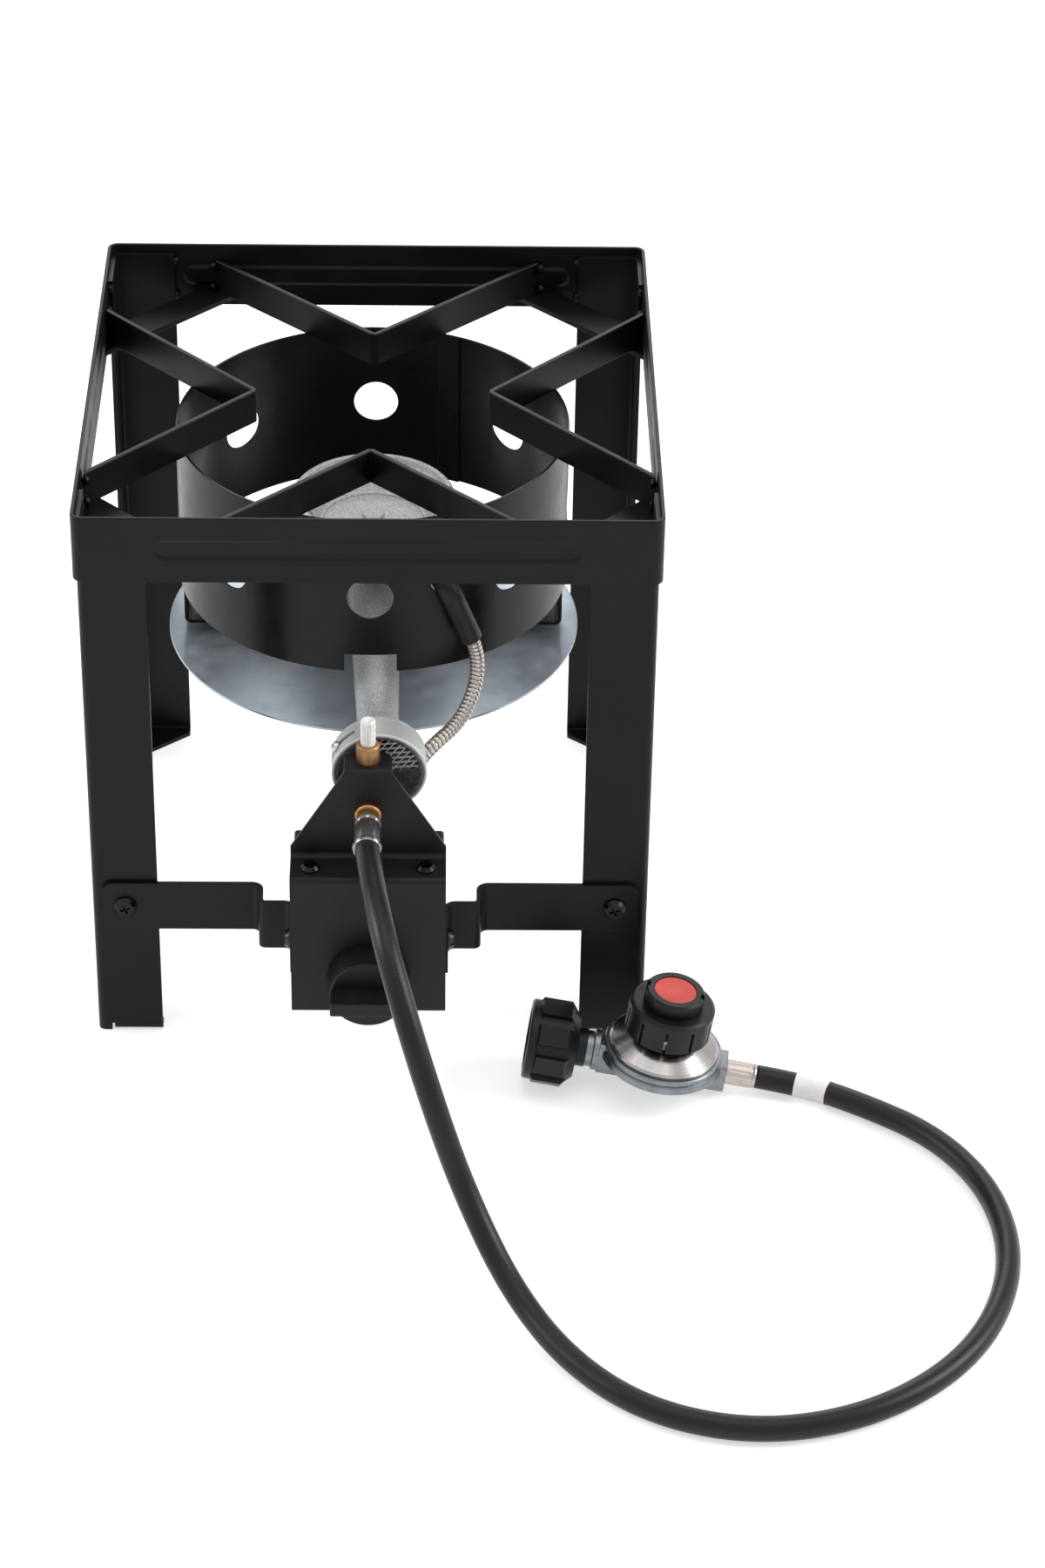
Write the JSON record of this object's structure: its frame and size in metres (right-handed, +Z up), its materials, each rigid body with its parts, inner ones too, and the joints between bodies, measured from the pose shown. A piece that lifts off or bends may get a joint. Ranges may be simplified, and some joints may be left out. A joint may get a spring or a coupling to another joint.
{
  "type": "propane cooker stand",
  "caption": "Square propane cooker stand with V pot bars, wind shield, cast burner, timer box with a push button, and a hose to a hand tightened regulator.",
  "frame": {"origin": "floor under the middle of the stand with its timer box", "axes": "+X to the right, +Y to the rear, +Z up"},
  "size_m": [0.4921, 0.6369, 0.33],
  "materials": {
    "frame_black": "satin powder coat",
    "panel_black": "satin powder coat",
    "shield_black": "satin heat paint",
    "zinc_plate": "zinc plated",
    "cast_grey": "as cast",
    "steel": "bright zinc",
    "brass": "turned",
    "button_clear": "milky",
    "knob_black": "moulded",
    "sleeve_black": "matt",
    "conduit": "stainless",
    "hose_black": "smooth",
    "paper": "plain paper",
    "zinc_cast": "die cast",
    "bonnet_bright": "bright",
    "label_red": "printed",
    "nut_black": "moulded",
    "screw_black": "blackened",
    "ferrule": "crimped"
  },
  "bodies": {
    "stand": {"top_rim": "frame_black", "leg_front_left": "frame_black", "leg_front_right": "frame_black", "leg_rear_left": "frame_black", "leg_rear_right": "frame_black", "pot_support_front": "frame_black", "pot_support_right": "frame_black", "pot_support_rear": "frame_black", "pot_support_left": "frame_black", "crossbar_left": "frame_black", "crossbar_right": "frame_black", "corner_straps": "frame_black", "control_panel": "panel_black", "timer_housing": "panel_black", "wind_shield": "shield_black", "burner_strap": "shield_black", "heat_plate": "zinc_plate", "burner_body": "cast_grey", "burner_head": "cast_grey", "plate_spacer": "steel", "burner_bolt": "steel", "burner_nut": "steel", "shutter_screw": "steel", "magnet_unit": "steel", "button_spring": "steel", "thermocouple_probe": "steel", "regulator_spring": "steel", "panel_screws": "screw_black", "leg_screws": "screw_black", "leg_nuts": "screw_black", "side_screws": "screw_black", "hose_ferrule_burner": "ferrule", "hose_ferrule_regulator": "ferrule", "valve_body": "brass", "orifice": "brass", "button_collar": "brass", "inlet_nut": "brass", "regulator_valve": "brass", "timer_movement": "knob_black", "timer_switch": "knob_black", "thermocouple_sleeve": "sleeve_black", "lead_gland": "sleeve_black", "regulator_diaphragm": "sleeve_black", "magnet_lead": "sleeve_black", "thermocouple_lead": "conduit", "gas_hose": "hose_black", "hose_sleeve": "paper", "regulator_body": "zinc_cast", "inlet_nipple": "zinc_cast", "regulator_bonnet": "bonnet_bright", "regulator_collar": "nut_black", "nut_retainer": "nut_black"},
    "timer_knob_body": {"timer_knob": "knob_black", "timer_shaft": "steel"},
    "reset_button_body": {"reset_button": "button_clear"},
    "air_shutter_body": {"air_shutter": "steel", "air_screen": "steel"},
    "regulator_knob_body": {"regulator_knob": "nut_black", "knob_label": "label_red"},
    "coupling_nut_body": {"coupling_nut": "nut_black"}
  },
  "joints": [
    {"name": "timer_turn", "type": "hinge", "parent": "stand", "child": "timer_knob_body", "pos_m": [0, -0.168, 0.08453], "axis": [0, 1, 0], "range_deg": [0, 300]},
    {"name": "button_press", "type": "slide", "parent": "stand", "child": "reset_button_body", "axis": [0, 0, -1], "range_m": [0, 0.004], "stiffness_N_per_m": 600, "springref_m": -0.002, "deforming": ["button_spring"]},
    {"name": "shutter_turn", "type": "hinge", "parent": "stand", "child": "air_shutter_body", "pos_m": [0, 0.0455, 0.2], "axis": [0.0331, -0.9964, -0.0785], "range_deg": [-25, 25]},
    {"name": "regulator_adjust", "type": "hinge", "parent": "stand", "child": "regulator_knob_body", "pos_m": [0.158, -0.1525, 0.017], "axis": [0.1386, -0.0121, 0.9903], "range_deg": [0, 720]},
    {"name": "nut_spin", "type": "hinge", "parent": "stand", "child": "coupling_nut_body", "pos_m": [0.158, -0.1525, 0.017], "axis": [-0.9865, 0.0863, 0.1392], "continuous": true}
  ]
}
